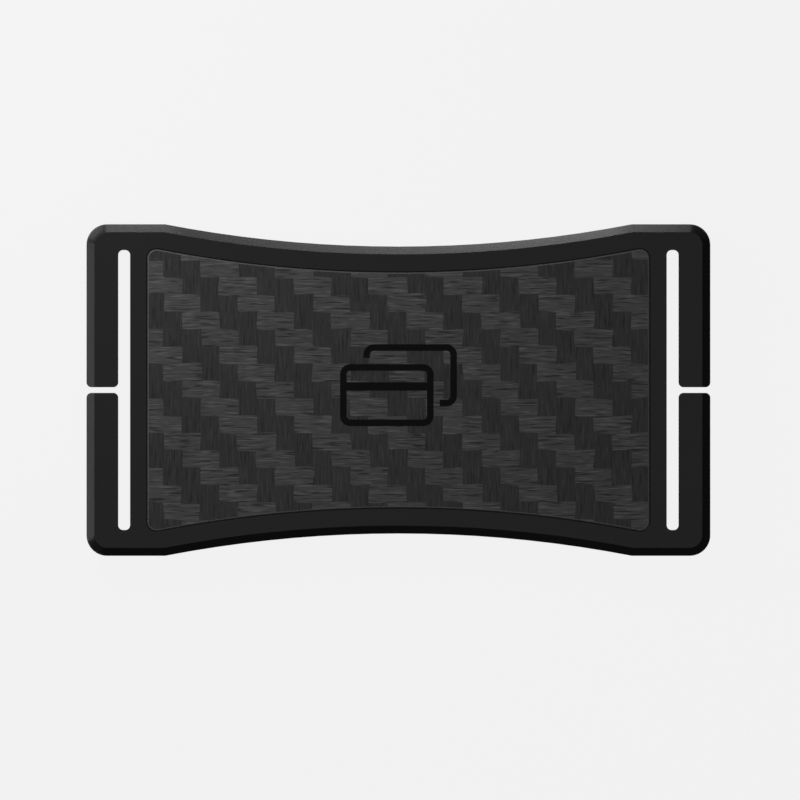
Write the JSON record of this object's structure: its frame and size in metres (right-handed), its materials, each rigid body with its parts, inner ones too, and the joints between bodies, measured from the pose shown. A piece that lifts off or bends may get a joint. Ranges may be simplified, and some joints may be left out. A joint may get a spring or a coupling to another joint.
{
  "type": "minimalist card wallet",
  "caption": "Flat card wallet: two waisted metal plates with carbon-fibre inlays and slotted ends, drawn together by a closed elastic band that doubles as a cash strap.",
  "frame": {"origin": "middle of the rest face, under the cash strap on the wallet's back", "axes": "+X along the cards, to the right of the front face; +Y up the front face; +Z out of the front face"},
  "size_m": [0.1016, 0.054, 0.0068],
  "materials": {
    "anodised_plate": "black hard-anodised aluminium, satin, worn a little lighter at the bevels",
    "carbon_inlay": "matte 2x2 twill carbon-fibre laminate",
    "adhesive_film": "thin acrylic adhesive film",
    "printed_mark": "flat black printed ink",
    "liner_sheet": "brushed, dark grey anodised sheet",
    "screw_steel": "turned stainless steel",
    "elastic_band": "ribbed knitted elastic webbing",
    "sewing_thread": "twisted polyester thread"
  },
  "bodies": {
    "rear_half": {"rear_plate": "anodised_plate", "rear_inlay_adhesive": "adhesive_film", "rear_inlay": "carbon_inlay"},
    "front_half": {"front_plate": "anodised_plate", "front_inlay_adhesive": "adhesive_film", "front_inlay": "carbon_inlay", "front_emblem": "printed_mark", "front_liner": "liner_sheet", "liner_screw_top_left": "screw_steel", "liner_screw_top_middle": "screw_steel", "liner_screw_top_right": "screw_steel", "liner_screw_bottom_left": "screw_steel", "liner_screw_bottom_middle": "screw_steel", "liner_screw_bottom_right": "screw_steel", "band_front_run": "elastic_band", "band_seam_stitch": "sewing_thread", "band_left_web": "elastic_band", "band_right_web": "elastic_band"},
    "cash_strap": {"band_rear_run": "elastic_band"}
  },
  "joints": [
    {"name": "plate_lift", "type": "slide", "parent": "rear_half", "child": "front_half", "axis": [0, 0, 1], "range_m": [0, 0.009], "stiffness_N_per_m": 900, "springref_m": -0.0065, "deforming": ["band_left_web", "band_right_web"]},
    {"name": "strap_lift", "type": "slide", "parent": "rear_half", "child": "cash_strap", "axis": [0, 0, -1], "range_m": [0, 0.004], "stiffness_N_per_m": 300, "springref_m": -0.005}
  ]
}
